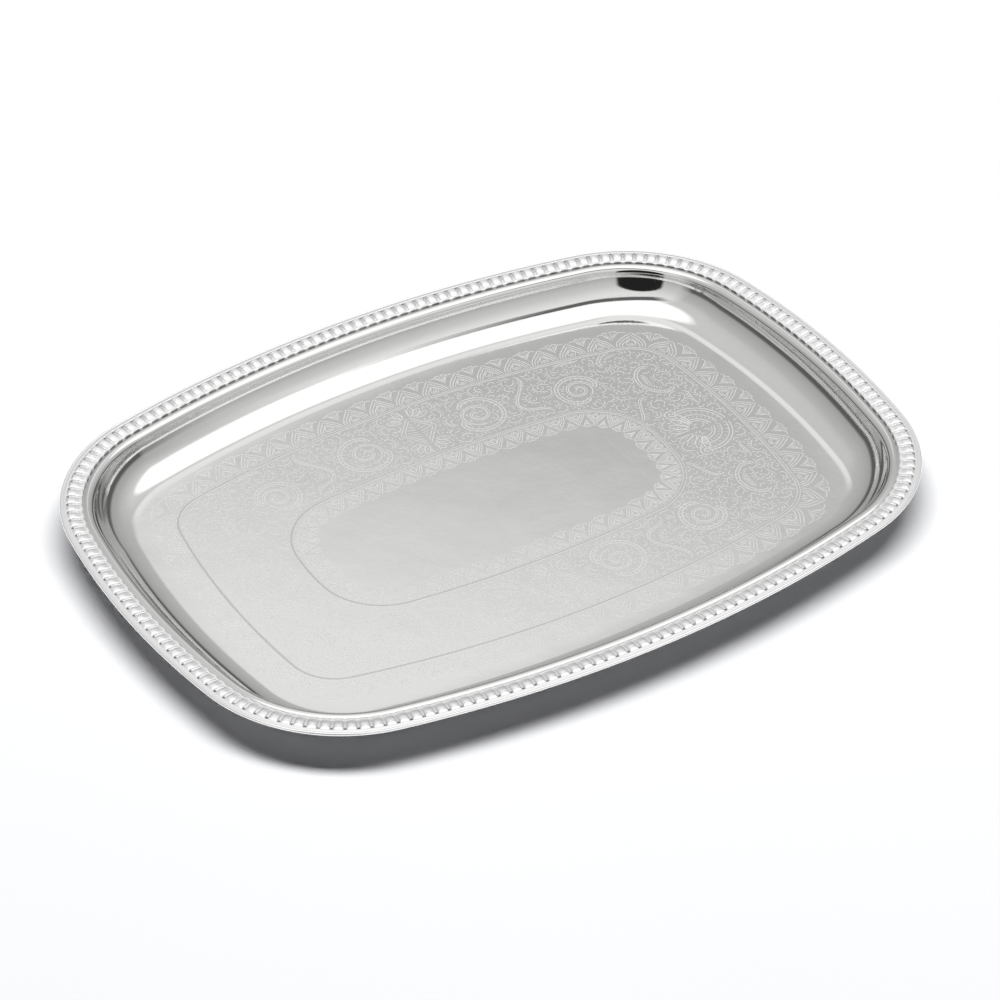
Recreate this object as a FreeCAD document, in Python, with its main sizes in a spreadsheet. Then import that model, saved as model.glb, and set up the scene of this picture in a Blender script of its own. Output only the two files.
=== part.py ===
import FreeCAD, Part
import math
import os

import Sketcher

# Low oblong serving tray with bowed sides, in millimetres.
# The tray stands on Z = 0 with the origin under its middle. X runs along its length and Y across it,
# with the front at -Y. Every edge of the rim is a parallel copy of one outline of eight tangent arcs:
# two ends, two long sides and four corners. The lobed border is soldered on in eight lengths, one to
# each of those arcs, with its lip turned down over the edge of the pressed sheet.

V = FreeCAD.Vector

SIZES = {
    # outline of the rim
    "half_length": 155.0,
    "half_width": 114.4,
    "end_radius": 324.0,
    "side_radius": 462.0,
    "corner_radius": 62.6,
    # pressed sheet: a flat seat for the border, a crease, a round shoulder, a hollow wall, a flat floor
    "sheet_gauge": 0.8,
    "seat_height": 15.0,
    "seat_inset": 8.6,
    "crease_radius": 1.2,
    "crease_angle": 25.0,
    "shoulder_radius": 2.8,
    "wall_angle": 78.0,
    # border strip, measured inwards from the outline and upwards from the seat
    "lip_gauge": 0.7,
    "band_width": 2.35,
    "band_foot": 2.6,
    "band_rise": 0.6,
    "groove_rise": 0.2,
    "channel_inset": 7.8,
    "feather_inset": 8.55,
    "feather_rise": 0.12,
    # one lobe of the border: part of a barrel turned about a level line that points at the arc's centre
    "lobe_outer": 2.45,
    "lobe_crown": 3.7,
    "lobe_inner": 7.9,
    "lobe_foot": 0.1,
    "lobe_rise": 0.98,
    "lobe_round": 3.6,
    "lobe_sweep": 78.0,
    # lobes on each length of border
    "end_lobes": 22,
    "side_lobes": 44,
    "corner_lobes": 15,
}

START, END = 1, 2  # the ends of a sketch's line or arc
HALF_TURN = math.pi
UP = V(0, 0, 1)


def make_sheet(doc):
    """The driving dimensions, one alias to a row."""
    sheet = doc.addObject("Spreadsheet::Sheet", "Sizes")
    for row, (alias, value) in enumerate(SIZES.items(), start=1):
        sheet.set(f"A{row}", alias)
        sheet.set(f"B{row}", str(value))
        sheet.setAlias(f"B{row}", alias)
    doc.recompute()
    return sheet


# The outline


class ArcOfRim:
    """One of the outline's eight arcs, drawn anticlockwise from one angle to another."""

    def __init__(self, name, family, centre, radius, first, last):
        self.name = name
        self.family = family
        self.centre = centre
        self.radius = radius
        self.first = first
        self.last = last


def rim_arcs(sheet):
    """The outline anticlockwise from the right end. Neighbours touch where their tangents agree."""
    end_centre = V(sheet.half_length - sheet.end_radius, 0, 0)
    side_centre = V(0, sheet.half_width - sheet.side_radius, 0)
    to_side = sheet.side_radius - sheet.corner_radius
    to_end = sheet.end_radius - sheet.corner_radius
    apart = end_centre - side_centre
    along = (to_side**2 - to_end**2 + apart.Length**2) / (2 * apart.Length)
    across = math.sqrt(to_side**2 - along**2)
    unit = apart / apart.Length
    corner_centre = side_centre + unit * along + V(unit.y, -unit.x, 0) * across
    low = math.atan2(corner_centre.y, corner_centre.x - end_centre.x)
    high = math.atan2(corner_centre.y - side_centre.y, corner_centre.x)

    def arc(name, family, centre, mirror_x, mirror_y, first, last):
        place = V(centre.x * mirror_x, centre.y * mirror_y, 0)
        return ArcOfRim(name, family, place, getattr(sheet, f"{family}_radius"), first, last)

    half, full = HALF_TURN, 2 * HALF_TURN
    return [
        arc("end_right", "end", end_centre, 1, 1, -low, low),
        arc("corner_back_right", "corner", corner_centre, 1, 1, low, high),
        arc("side_back", "side", side_centre, 1, 1, high, half - high),
        arc("corner_back_left", "corner", corner_centre, -1, 1, half - high, half - low),
        arc("end_left", "end", end_centre, -1, 1, half - low, half + low),
        arc("corner_front_left", "corner", corner_centre, -1, -1, half + low, half + high),
        arc("side_front", "side", side_centre, 1, -1, half + high, full - high),
        arc("corner_front_right", "corner", corner_centre, 1, -1, full - high, full - low),
    ]


# Sketches


def origin_feature(body, role):
    """The body's own origin plane or axis with this role."""
    return next(item for item in body.Origin.OriginFeatures if item.Role == role)


def new_sketch(body, name, role):
    """A sketch on one of the body's origin planes."""
    sketch = body.newObject("Sketcher::SketchObject", name)
    sketch.AttachmentSupport = [(origin_feature(body, role), "")]
    sketch.MapMode = "FlatFace"
    return sketch


def bind_radius(sketch, edge, radius, formula):
    """Fixes an arc's radius and ties it to the sheet."""
    index = sketch.addConstraint(Sketcher.Constraint("Radius", edge, radius))
    sketch.setExpression(f"Constraints[{index}]", formula)


def close_loop(sketch, edges):
    """Joins each edge to the next, and the last to the first. An edge is (index, first, last end)."""
    for here, there in zip(edges, edges[1:] + edges[:1]):
        sketch.addConstraint(Sketcher.Constraint("Coincident", here[0], here[2], there[0], there[1]))


def add_through(sketch, first, middle, last):
    """Adds the arc through three points. A sketch keeps it anticlockwise, so its ends may swap."""
    index = sketch.addGeometry(Part.Arc(first, middle, last), False)
    turn = (middle - first).cross(last - middle).z
    return (index, START, END) if turn > 0 else (index, END, START)


def draw_section(sketch, radius, corners):
    """Draws a closed section of the rim and returns its edges.

    A corner is ((inset, height),) where a line leaves it. Where an arc leaves it, a point that the
    arc passes through is added. Inset 0 lies on the outline, at radius from the arc's centre.
    """

    def place(point):
        return V(radius - point[0], point[1], 0)

    edges = []
    for corner, following in zip(corners, corners[1:] + corners[:1]):
        here, there = place(corner[0]), place(following[0])
        if len(corner) == 1:
            edges.append((sketch.addGeometry(Part.LineSegment(here, there), False), START, END))
        else:
            edges.append(add_through(sketch, here, place(corner[1]), there))
    close_loop(sketch, edges)
    return [edge[0] for edge in edges]


def on_circle(centre, radius, angle):
    """The point (inset, height) on a circle, its angle measured inwards from straight up."""
    return (centre[0] + radius * math.sin(angle), centre[1] + radius * math.cos(angle))


def draw_outline(body, name, arcs, inset, inset_formula):
    """The outline moved inwards by inset, starting and ending where it crosses +X."""
    sketch = new_sketch(body, name, "XY_Plane")
    right = arcs[0]
    spans = [(right, 0.0, right.last)]
    spans += [(arc, arc.first, arc.last) for arc in arcs[1:]]
    spans += [(right, right.first, 0.0)]
    edges = []
    for arc, first, last in spans:
        circle = Part.Circle(arc.centre, UP, arc.radius - inset)
        edges.append(sketch.addGeometry(Part.ArcOfCircle(circle, first, last), False))
    close_loop(sketch, [(edge, START, END) for edge in edges])
    for edge, (arc, _, _) in zip(edges, spans):
        bind_radius(sketch, edge, arc.radius - inset, f"Sizes.{arc.family}_radius - {inset_formula}")
    return sketch


# Pressed sheet


def floor_inset_formula():
    """How far the flat floor lies inside the outline, in terms of the sheet's cells."""
    rise, fall = "(Sizes.crease_angle * 1 deg)", "(Sizes.wall_angle * 1 deg)"
    turns = "(Sizes.crease_radius + Sizes.shoulder_radius)"
    crown = f"(Sizes.seat_height + {turns} * (1 - cos({rise})))"
    drop = f"({crown} - Sizes.shoulder_radius * (1 - cos({fall})) - Sizes.sheet_gauge)"
    wall = f"({drop} / (1 - cos({fall})))"
    return f"(Sizes.seat_inset + {turns} * sin({rise}) + (Sizes.shoulder_radius + {wall}) * sin({fall}))"


def make_tray_body(doc, sheet, arcs):
    """Seat, crease, shoulder, hollow wall and floor, pressed in one piece from sheet of one gauge."""
    body = doc.addObject("PartDesign::Body", "tray_body")
    body.Label = "tray_body"
    gauge, seat, seat_inset = sheet.sheet_gauge, sheet.seat_height, sheet.seat_inset
    rise, fall = math.radians(sheet.crease_angle), math.radians(sheet.wall_angle)
    crease, shoulder = sheet.crease_radius, sheet.shoulder_radius

    crown_inset = seat_inset + (crease + shoulder) * math.sin(rise)
    crown_height = seat + (crease + shoulder) * (1 - math.cos(rise))
    crease_at = (seat_inset, seat + crease)
    shoulder_at = (crown_inset, crown_height - shoulder)
    shoulder_end = on_circle(shoulder_at, shoulder, fall)
    wall = (shoulder_end[1] - gauge) / (1 - math.cos(fall))
    floor_inset = shoulder_end[0] + wall * math.sin(fall)
    wall_at = (floor_inset, gauge + wall)
    crease_middle, wall_middle = HALF_TURN - rise / 2, fall / 2 - HALF_TURN
    under_shoulder, under_crease, under_wall = shoulder - gauge, crease + gauge, wall + gauge

    path = draw_outline(body, "rim_path", arcs, 0.0, "0")
    section = new_sketch(body, "rim_section", "XZ_Plane")
    corners = [
        ((sheet.lip_gauge, seat),),
        ((seat_inset, seat), on_circle(crease_at, crease, crease_middle)),
        (on_circle(shoulder_at, shoulder, -rise), on_circle(shoulder_at, shoulder, 0.0)),
        (shoulder_end, on_circle(wall_at, wall, wall_middle)),
        ((floor_inset, gauge),),
        ((floor_inset, 0.0), on_circle(wall_at, under_wall, wall_middle)),
        (on_circle(shoulder_at, under_shoulder, fall), on_circle(shoulder_at, under_shoulder, 0.0)),
        (on_circle(shoulder_at, under_shoulder, -rise), on_circle(crease_at, under_crease, crease_middle)),
        ((seat_inset, seat - gauge),),
        ((sheet.lip_gauge, seat - gauge),),
    ]
    edges = draw_section(section, sheet.half_length, corners)
    bind_radius(section, edges[1], crease, "Sizes.crease_radius")
    bind_radius(section, edges[2], shoulder, "Sizes.shoulder_radius")
    bind_radius(section, edges[6], under_shoulder, "Sizes.shoulder_radius - Sizes.sheet_gauge")
    bind_radius(section, edges[7], under_crease, "Sizes.crease_radius + Sizes.sheet_gauge")
    rim = body.newObject("PartDesign::AdditivePipe", "rim")
    rim.Profile = section
    rim.Spine = path
    doc.recompute()

    floor = body.newObject("PartDesign::Pad", "floor")
    floor.Profile = draw_outline(body, "floor_edge", arcs, floor_inset, floor_inset_formula())
    floor.setExpression("Length", "Sizes.sheet_gauge")
    body.Tip = floor
    doc.recompute()
    return body


# Lobed border


def make_border(doc, sheet, arc):
    """One length of border. Its body's Z axis is its arc's, and its X axis points at its first lobe."""
    body = doc.addObject("PartDesign::Body", f"gadroon_{arc.name}")
    body.Label = body.Name
    lobes = int(getattr(sheet, f"{arc.family}_lobes"))
    span = arc.last - arc.first
    pitch = span / lobes
    arc_axis = (origin_feature(body, "Z_Axis"), [""])

    def turned(kind, name, sketch):
        """Turns a section through the whole length about the arc's centre, from the seam."""
        sketch.AttachmentOffset = FreeCAD.Placement(V(), FreeCAD.Rotation(V(0, 1, 0), -math.degrees(pitch / 2)))
        feature = body.newObject(f"PartDesign::{kind}", name)
        feature.Profile = sketch
        feature.ReferenceAxis = arc_axis
        feature.Angle = math.degrees(span)
        doc.recompute()
        return feature

    seat, lip, feather = sheet.seat_height, sheet.lip_gauge, sheet.feather_inset
    under, band, groove = seat - sheet.sheet_gauge, seat + sheet.band_rise, seat + sheet.groove_rise
    strip_section = new_sketch(body, f"strip_section_{arc.name}", "XZ_Plane")
    strip_corners = [
        ((lip, under), (0.0, (under + band) / 2)),
        ((lip, band),),
        ((sheet.band_width, band),),
        ((sheet.band_foot, groove),),
        ((sheet.channel_inset, groove),),
        ((feather, seat + sheet.feather_rise),),
        ((feather, seat),),
        ((lip, seat),),
    ]
    edges = draw_section(strip_section, arc.radius, strip_corners)
    nose_formula = "(Sizes.sheet_gauge + Sizes.band_rise) / 2"
    bind_radius(strip_section, edges[0], (band - under) / 2, nose_formula)
    turned("Revolution", f"strip_{arc.name}", strip_section)

    lobe = make_lobe(doc, body, sheet, arc)
    row = body.newObject("PartDesign::PolarPattern", f"lobes_{arc.name}")
    row.Originals = [lobe]
    row.Axis = arc_axis
    row.Angle = math.degrees(pitch * (lobes - 1))
    row.setExpression("Occurrences", f"Sizes.{arc.family}_lobes")
    body.Tip = row
    doc.recompute()

    seat_section = new_sketch(body, f"seat_section_{arc.name}", "XZ_Plane")
    seat_corners = [((lip, under),), ((lip, seat),), ((feather, seat),), ((feather, under),)]
    draw_section(seat_section, arc.radius, seat_corners)
    turned("Groove", f"seat_{arc.name}", seat_section)
    first_lobe = FreeCAD.Rotation(UP, math.degrees(arc.first + pitch / 2))
    body.Placement = FreeCAD.Placement(arc.centre, first_lobe)
    doc.recompute()
    return body


def make_lobe(doc, body, sheet, arc):
    """The first lobe: a steep outer end and a long taper inwards, turned about its own level line."""
    crown, foot = sheet.seat_height + sheet.lobe_rise, sheet.seat_height + sheet.lobe_foot
    rise = crown - foot
    outer_run, inner_run = sheet.lobe_crown - sheet.lobe_outer, sheet.lobe_inner - sheet.lobe_crown
    outer_radius = (outer_run**2 + rise**2) / (2 * rise)
    inner_radius = (inner_run**2 + rise**2) / (2 * rise)
    outer_at, inner_at = (sheet.lobe_crown, crown - outer_radius), (sheet.lobe_crown, crown - inner_radius)
    outer_middle = -math.asin(outer_run / outer_radius) / 2
    inner_middle = math.asin(inner_run / inner_radius) / 2

    section = new_sketch(body, f"lobe_section_{arc.name}", "XZ_Plane")
    corners = [
        ((sheet.lobe_outer, foot), on_circle(outer_at, outer_radius, outer_middle)),
        ((sheet.lobe_crown, crown), on_circle(inner_at, inner_radius, inner_middle)),
        ((sheet.lobe_inner, foot),),
    ]
    draw_section(section, arc.radius, corners)
    level = crown - sheet.lobe_round
    barrel_line = Part.LineSegment(V(arc.radius - sheet.lobe_inner, level, 0), V(arc.radius, level, 0))
    section.addConstraint(Sketcher.Constraint("Horizontal", section.addGeometry(barrel_line, True)))

    lobe = body.newObject("PartDesign::Revolution", f"lobe_{arc.name}")
    lobe.Profile = section
    lobe.ReferenceAxis = (section, ["Axis0"])
    lobe.Midplane = True
    lobe.setExpression("Angle", "Sizes.lobe_sweep")
    doc.recompute()
    return lobe


# Checking and writing


def check(doc, bodies):
    """Stops if any object failed, or any piece isn't one sound solid."""
    for item in doc.Objects:
        if {"Invalid", "Error"} & set(item.State):
            raise RuntimeError(f"{item.Name} is {item.State}")
    for body in bodies:
        shape = body.Shape
        if shape.isNull() or not shape.isValid() or len(shape.Solids) != 1:
            raise RuntimeError(f"{body.Label} isn't one sound solid")
        box = shape.optimalBoundingBox()
        print(f"{body.Label}: {shape.Volume:.1f} mm3, Z {box.ZMin:.3f} to {box.ZMax:.3f}")


def main():
    doc = FreeCAD.newDocument("serving_tray")
    sheet = make_sheet(doc)
    arcs = rim_arcs(sheet)
    bodies = [make_tray_body(doc, sheet, arcs)]
    bodies += [make_border(doc, sheet, arc) for arc in arcs]
    doc.recompute()
    check(doc, bodies)
    os.makedirs("parts", exist_ok=True)
    for body in bodies:
        body.Shape.exportStep(f"parts/{body.Label}.step")


main()
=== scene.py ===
import math

import bpy
import numpy as np
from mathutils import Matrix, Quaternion, Vector


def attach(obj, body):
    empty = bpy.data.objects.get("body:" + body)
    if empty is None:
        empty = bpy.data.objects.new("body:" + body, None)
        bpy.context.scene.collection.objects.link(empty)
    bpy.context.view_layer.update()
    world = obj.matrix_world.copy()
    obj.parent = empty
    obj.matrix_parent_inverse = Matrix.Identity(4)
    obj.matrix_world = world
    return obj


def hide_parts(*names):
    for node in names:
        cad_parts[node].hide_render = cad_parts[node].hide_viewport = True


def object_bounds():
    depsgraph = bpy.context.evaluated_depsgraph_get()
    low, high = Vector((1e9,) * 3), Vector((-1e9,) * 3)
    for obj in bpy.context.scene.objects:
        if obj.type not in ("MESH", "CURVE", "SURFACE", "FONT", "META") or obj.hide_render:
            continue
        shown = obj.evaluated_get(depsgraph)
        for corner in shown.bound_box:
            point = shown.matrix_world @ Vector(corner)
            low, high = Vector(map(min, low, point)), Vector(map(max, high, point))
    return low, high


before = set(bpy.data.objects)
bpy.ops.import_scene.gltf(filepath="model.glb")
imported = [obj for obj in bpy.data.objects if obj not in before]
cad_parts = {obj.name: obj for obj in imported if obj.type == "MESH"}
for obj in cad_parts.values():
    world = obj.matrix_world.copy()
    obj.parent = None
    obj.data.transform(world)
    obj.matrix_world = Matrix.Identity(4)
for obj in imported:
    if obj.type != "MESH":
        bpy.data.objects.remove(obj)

# A low oblong silver tray: a pressed body, eight lengths of lobed border and the pattern engraved on its
# floor. Lengths are in millimetres until a mesh is written. "Inset" is a distance inwards from the
# outline of the rim, and each section below is a list of (inset, height) points.

MM = 0.001
TURN = 2 * math.pi

BODY_NODE = "tray_body"
BORDER_PREFIX = "gadroon_"

CAD_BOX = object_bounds()
HALF_LENGTH = CAD_BOX[1].x / MM
HALF_WIDTH = CAD_BOX[1].y / MM

# the outline's radii, and the lobes along each family of arcs
RIM_RADII = {"end": 324.0, "side": 462.0, "corner": 62.6}
LOBES = {"end": 22, "side": 44, "corner": 15}

# pressed sheet
GAUGE = 0.8
SEAT_HEIGHT = 15.0
SEAT_INSET = 8.6
LIP = 0.7
CREASE_RADIUS = 1.2
CREASE_ANGLE = math.radians(25.0)
SHOULDER_RADIUS = 2.8
WALL_ANGLE = math.radians(78.0)

# border
BAND_TOP = SEAT_HEIGHT + 0.6
BAND_WIDTH = 2.35
FEATHER_INSET = 8.55
LOBE_TOP = 15.97
LOBE_FOOT_INSET = 2.5
LOBE_CROWN_INSET = 3.75
LOBE_END_INSET = 7.95

# engraved pattern: the two plain rings, and the pattern's small turn and shift in the well
RING_OUTER = {"half_length": 110.2, "half_width": 69.6, "end": 311.0, "side": 435.0, "corner": 19.1}
RING_INNER = {"half_length": 77.0, "half_width": 36.9, "end": 96.9, "side": 470.0, "corner": 26.5}
RING_GAP = 1.1
PATTERN_TURN = -0.0334
PATTERN_SHIFT = (-1.09, 0.73)
LINE_HEIGHT = 0.035
LINE_SUNK = 0.005
LINE_WEIGHT = 1.5

RANDOM_SEED = 20


# Outlines made of eight tangent arcs


class Arc:
    """One arc of an oblong, from one angle to another, anticlockwise."""

    def __init__(self, name, family, centre, radius, first, last):
        self.name = name
        self.family = family
        self.centre = centre
        self.radius = radius
        self.first = first
        self.last = last


def oblong_arcs(half_length, half_width, end, side, corner):
    """The eight arcs, from the right end. Neighbours touch where their tangents agree."""
    end_centre = Vector((half_length - end, 0.0))
    side_centre = Vector((0.0, half_width - side))
    apart = end_centre - side_centre
    to_side, to_end = side - corner, end - corner
    along = (to_side**2 - to_end**2 + apart.length_squared) / (2 * apart.length)
    across = math.sqrt(to_side**2 - along**2)
    unit = apart.normalized()
    corner_centre = side_centre + unit * along + Vector((unit.y, -unit.x)) * across
    low = math.atan2(corner_centre.y, corner_centre.x - end_centre.x)
    high = math.atan2(corner_centre.y - side_centre.y, corner_centre.x)
    radii = {"end": end, "side": side, "corner": corner}
    centres = {"end": end_centre, "side": side_centre, "corner": corner_centre}
    half = math.pi

    def arc(name, family, mirror_x, mirror_y, first, last):
        centre = (centres[family].x * mirror_x, centres[family].y * mirror_y)
        return Arc(name, family, centre, radii[family], first, last)

    return [
        arc("end_right", "end", 1, 1, -low, low),
        arc("corner_back_right", "corner", 1, 1, low, high),
        arc("side_back", "side", 1, 1, high, half - high),
        arc("corner_back_left", "corner", -1, 1, half - high, half - low),
        arc("end_left", "end", -1, 1, half - low, half + low),
        arc("corner_front_left", "corner", -1, -1, half + low, half + high),
        arc("side_front", "side", 1, -1, half + high, TURN - high),
        arc("corner_front_right", "corner", 1, -1, TURN - high, TURN - low),
    ]


def stations_at(arc, angles):
    """Rows of (centre x, centre y, radius, cosine, sine) at the given angles of an arc."""
    rows = np.empty((len(angles), 5))
    rows[:, 0:2] = arc.centre
    rows[:, 2] = arc.radius
    rows[:, 3] = np.cos(angles)
    rows[:, 4] = np.sin(angles)
    return rows


def parallel(stations, inset):
    """The outline's points moved inwards by inset."""
    reach = stations[:, 2] - inset
    return stations[:, 0:2] + reach[:, None] * stations[:, 3:5]


class Track:
    """A closed oblong that strokes are drawn along: a point is so far along it and so far out of it."""

    def __init__(self, ring):
        self.arcs = oblong_arcs(**ring)
        self.centres = np.array([arc.centre for arc in self.arcs])
        self.radii = np.array([arc.radius for arc in self.arcs])
        self.firsts = np.array([arc.first for arc in self.arcs])
        lengths = [arc.radius * (arc.last - arc.first) for arc in self.arcs]
        self.starts = np.concatenate([[0.0], np.cumsum(lengths)])
        self.length = self.starts[-1]

    def place(self, points):
        along = np.mod(points[:, 0], self.length)
        which = np.clip(np.searchsorted(self.starts, along, side="right") - 1, 0, len(self.arcs) - 1)
        angles = self.firsts[which] + (along - self.starts[which]) / self.radii[which]
        reach = self.radii[which] + points[:, 1]
        return self.centres[which] + reach[:, None] * np.stack([np.cos(angles), np.sin(angles)], axis=1)

    def loop(self, out, step):
        along = np.linspace(0.0, self.length, max(8, round(self.length / step)), endpoint=False)
        return self.place(np.stack([along, np.full_like(along, out)], axis=1))

    def depth(self, points):
        """How far inside the oblong each point lies, negative outside it."""
        corners = self.loop(0.0, 4.0)
        edges = np.roll(corners, -1, axis=0) - corners
        inward = np.stack([-edges[:, 1], edges[:, 0]], axis=1)
        inward /= np.linalg.norm(inward, axis=1, keepdims=True)
        offsets = (corners * inward).sum(axis=1)
        return (points @ inward.T - offsets).min(axis=1)


# Meshes


def make_object(name, vertices, faces, replaced=(), sharp=40.0):
    """A smooth-shaded piece from millimetre points, riding on the one body."""
    mesh = bpy.data.meshes.new(name)
    mesh.from_pydata(vertices * MM, [], faces)
    mesh.shade_smooth()
    mesh.set_sharp_from_angle(angle=math.radians(sharp))
    mesh.update()
    piece = bpy.data.objects.new(name, mesh)
    bpy.context.collection.objects.link(piece)
    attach(piece, "root")
    if replaced:
        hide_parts(*replaced)
    return piece


def arc_points(centre, radius, first, last, steps):
    """Points (inset, height) on a circle, angles measured inwards from straight up."""
    angles = np.linspace(first, last, steps + 1)
    return [(centre[0] + radius * math.sin(a), centre[1] + radius * math.cos(a)) for a in angles]


def tray_sections():
    """The sheet's upper side from rim to floor, and its under side from floor to rim."""
    rise, fall = CREASE_ANGLE, WALL_ANGLE
    turns = CREASE_RADIUS + SHOULDER_RADIUS
    crown = (SEAT_INSET + turns * math.sin(rise), SEAT_HEIGHT + turns * (1 - math.cos(rise)))
    crease_at = (SEAT_INSET, SEAT_HEIGHT + CREASE_RADIUS)
    shoulder_at = (crown[0], crown[1] - SHOULDER_RADIUS)
    end_height = shoulder_at[1] + SHOULDER_RADIUS * math.cos(fall)
    wall = (end_height - GAUGE) / (1 - math.cos(fall))
    floor_inset = shoulder_at[0] + (SHOULDER_RADIUS + wall) * math.sin(fall)
    wall_at = (floor_inset, GAUGE + wall)

    upper = [(LIP, SEAT_HEIGHT)]
    upper += arc_points(crease_at, CREASE_RADIUS, math.pi, math.pi - rise, 5)
    upper += arc_points(shoulder_at, SHOULDER_RADIUS, -rise, fall, 16)[1:]
    upper += arc_points(wall_at, wall, fall - math.pi, -math.pi, 30)[1:]
    under = arc_points(wall_at, wall + GAUGE, -math.pi, fall - math.pi, 22)
    under += arc_points(shoulder_at, SHOULDER_RADIUS - GAUGE, fall, -rise, 12)[1:]
    under += arc_points(crease_at, CREASE_RADIUS + GAUGE, math.pi - rise, math.pi, 4)[1:]
    under += [(LIP, SEAT_HEIGHT - GAUGE)]
    return upper, under


def make_tray_body(arcs):
    """Seat, crease, shoulder, hollow wall and floor as one closed skin."""
    stations = np.concatenate(
        [stations_at(arc, np.linspace(arc.first, arc.last, 3 * LOBES[arc.family] + 1)[:-1]) for arc in arcs]
    )
    count = len(stations)
    upper, lower = tray_sections()
    floor_edge = parallel(stations, upper[-1][0])
    shares = (0.94, 0.85, 0.74, 0.62, 0.49, 0.36, 0.23, 0.11, 0.03)

    def level(points, height):
        return np.column_stack([points, np.full(len(points), height)])

    rings = [level(parallel(stations, inset), height) for inset, height in upper]
    rings += [level(floor_edge * share, GAUGE) for share in shares]
    top_rings = len(rings)
    rings += [level(floor_edge * share, 0.0) for share in shares[::-1]]
    rings += [level(parallel(stations, inset), height) for inset, height in lower]
    vertices = np.concatenate(rings + [np.array([[0.0, 0.0, GAUGE], [0.0, 0.0, 0.0]])])
    top_centre, under_centre = len(vertices) - 2, len(vertices) - 1

    faces = []
    here = np.arange(count)
    there = np.roll(here, -1)
    for ring in range(len(rings)):
        following = (ring + 1) % len(rings)
        if ring == top_rings - 1:
            faces += [(ring * count + a, ring * count + b, top_centre) for a, b in zip(here, there)]
            under = following * count
            faces += [(under + b, under + a, under_centre) for a, b in zip(here, there)]
            continue
        a, b = ring * count, following * count
        faces += np.stack([a + here, a + there, b + there, b + here], axis=1).tolist()
    return make_object(BODY_NODE + "_skin", vertices, faces, (BODY_NODE,))


def smooth_step(value, first, last):
    share = np.clip((value - first) / (last - first), 0.0, 1.0)
    return share * share * (3 - 2 * share)


def across_lobe(inset, phase):
    """How far a lobe, and the thin fillet between lobes, swell up at each phase from -1 to 1."""
    away = np.abs(phase)
    narrowing = 0.12 * smooth_step(inset, 4.8, LOBE_END_INSET)
    lobe = np.clip(away / (0.83 - narrowing), 0.0, 1.0)
    fillet = np.clip((1 - away) / (0.15 + narrowing), 0.0, 1.0)
    return (1 - lobe**3.4) ** 0.6, (1 - fillet**2) ** 0.6


def band_height(inset):
    """The band dips towards its nose, a shallow hollow just inside the nose's own top."""
    return BAND_TOP - 0.05 * ((BAND_WIDTH - inset) / 1.2) - 0.13 * ((BAND_WIDTH - inset) / 1.6) ** 2


def border_heights(inset, phase):
    """Heights across the lobed face at one inset, and how much painted shade darkens its recesses."""
    base = np.interp(
        inset,
        (BAND_WIDTH, 2.62, 2.95, 5.0, 7.3, 8.0, 8.3, FEATHER_INSET),
        (band_height(BAND_WIDTH), 15.34, 15.16, 15.3, 15.36, 15.38, 15.24, 15.08),
    )
    outer = smooth_step(inset, LOBE_FOOT_INSET - 0.3, LOBE_CROWN_INSET - 0.3) ** 0.7
    inner = 1 - smooth_step(inset, LOBE_CROWN_INSET + 0.6, LOBE_END_INSET) ** 1.3
    top = 15.38 + (LOBE_TOP - 15.38) * outer * inner
    rib = 0.34 * smooth_step(inset, 2.9, 3.5) * (1 - smooth_step(inset, 5.5, 7.6))
    lobe, fillet = across_lobe(inset, phase)
    heights = base + np.maximum(max(top - base, 0.0) * lobe, rib * fillet)
    # painted shade: the pits, grooves and valley are marked darker, most where no lobe covers them
    pit = smooth_step(inset, BAND_WIDTH + 0.1, BAND_WIDTH + 0.35) * (1 - smooth_step(inset, 3.1, 3.7))
    groove = smooth_step(inset, 3.0, 3.6) * (1 - smooth_step(inset, 6.2, 7.6))
    bare = (1 - lobe) * (1 - 0.8 * fillet * (groove > 0.5))
    valley = np.interp(inset, (8.05, 8.4, FEATHER_INSET), (0.0, 0.5, 0.8))
    return heights, np.clip(pit * (1 - lobe) ** 1.2 + 0.5 * groove * bare + valley, 0.0, 1.0)


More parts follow.
